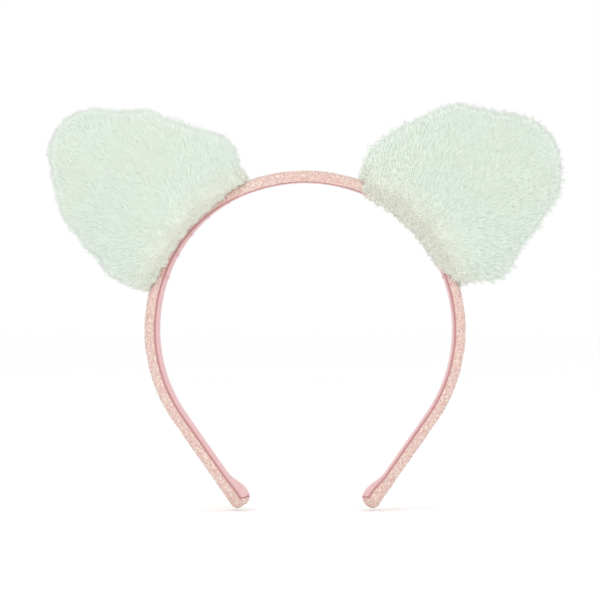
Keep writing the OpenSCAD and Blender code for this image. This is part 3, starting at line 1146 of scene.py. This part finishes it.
# %% Sewing loops
def rope(name, lines, radius, finish):
    """Round strands along closed lines, as one mesh."""
    curve = bpy.data.curves.new(name, "CURVE")
    curve.dimensions, curve.bevel_depth, curve.bevel_resolution = "3D", radius * MM, 1
    for line in lines:
        spline = curve.splines.new("POLY")
        spline.points.add(len(line) - 1)
        for point, place in zip(spline.points, line):
            point.co = (*place, 1)
        spline.use_cyclic_u = True
    holder = bpy.data.objects.new(name + "_line", curve)
    bpy.context.scene.collection.objects.link(holder)
    bm = bmesh.new()
    bm.from_mesh(holder.to_mesh())
    holder.to_mesh_clear()
    bpy.data.objects.remove(holder)
    bmesh.ops.remove_doubles(bm, verts=bm.verts, dist=1e-7)
    bmesh.ops.recalc_face_normals(bm, faces=bm.faces)
    return piece(name, bm, finish, 180)


for side, word in SIDES:
    lines = [loop_line((EAR_AT + (i - (LOOPS - 1) / 2) * LOOP_PITCH) * OUTER_R, side, phase)
             for i in range(LOOPS) for phase in (0, math.pi)]
    loops = rope(f"ear_{word}_loops", lines, STRAND_R, pink_thread)
    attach(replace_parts(loops, f"ear_{word}_sewing_loops"), f"{word}_leg")
    print(loops.name, len(loops.data.polygons), "faces")

# %% [markdown]
# ## Pieces kept from the frame
# The core and the closing stitches have the right shape already. They get a finish of their own.

# %% Finishes on the frame's own pieces
KEPT = {"core_crown": moulded, "core_leg_left": moulded, "core_leg_right": moulded,
        "ear_left_seam_stitches": thread, "ear_right_seam_stitches": thread}
for name, finish in KEPT.items():
    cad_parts[name].data.materials.clear()
    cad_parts[name].data.materials.append(finish)
print(len(KEPT), "pieces kept from the frame")

# %% [markdown]
# ## The fabric strips
# The core turns at two places beside the crown, and each half of the fabric crosses one of them whole. The
# strips keep their placement in their meshes, and the CAD cover and lining are hidden.

# %% The strips' placement written into their meshes
for side, word in SIDES:
    for strip_piece in (covers[side], linings[side], hems[side, -1], hems[side, 1], flakes[side]):
        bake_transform(strip_piece)
    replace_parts(covers[side], "glitter_cover")
    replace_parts(linings[side], "lining_ribbon")

# %% [markdown]
# ## Floor, light and camera
# A plain pale floor just under the tips, an even white surround, one large soft light above and in front,
# and a weaker one from the other side.

# %% Floor and surround
FLOOR_SIZE, FLOOR_GAP = 6, 0.8 * MM
bm = bmesh.new()
bmesh.ops.create_grid(bm, x_segments=1, y_segments=1, size=FLOOR_SIZE)
bmesh.ops.translate(bm, verts=bm.verts, vec=(0, 0, cad_box[0][2] - FLOOR_GAP))
paper, w, plug = new_finish("white paper", Roughness=0.9)
plug(Base_Color=w.noise(w.place(), 3.0, 2.0, 0.5).tint(shade(253, 253, 253), shade(255, 255, 255)))
piece("floor", bm, paper)

world = bpy.data.worlds.new("white surround")
bpy.context.scene.world = world
world.use_nodes = True
world.node_tree.nodes["Background"].inputs["Color"].default_value = (1, 1, 1, 1)
world.node_tree.nodes["Background"].inputs["Strength"].default_value = 1.0
print("floor", round((cad_box[0][2] - FLOOR_GAP) / MM, 1), "mm up")


# %% Two soft lights
def soft_light(name, place, size, power, target=(0, 0, -0.03)):
    light = bpy.data.lights.new(name, "AREA")
    light.shape, light.size, light.energy = "DISK", size, power
    lamp = bpy.data.objects.new(name, light)
    bpy.context.scene.collection.objects.link(lamp)
    lamp.location = place
    lamp.rotation_euler = (Vector(target) - Vector(place)).to_track_quat("-Z", "Y").to_euler()


soft_light("key", (-0.5, -0.9, 0.9), 0.6, 2.6)
soft_light("fill", (0.8, -0.7, 0.3), 0.7, 0.6)
print("lights:", [light.name for light in bpy.data.lights])

# %% Camera, level and straight in front
camera = bpy.data.cameras.new("camera")
camera.lens, camera.sensor_width = 173.5, 36
eye = bpy.data.objects.new("camera", camera)
bpy.context.scene.collection.objects.link(eye)
eye.location = (-0.0021, -1.2, -0.0486)
eye.rotation_euler = (math.radians(90), 0, 0)
bpy.context.scene.camera = eye
bpy.context.scene.view_settings.view_transform = "Standard"
print("camera at", tuple(round(x, 4) for x in eye.location))
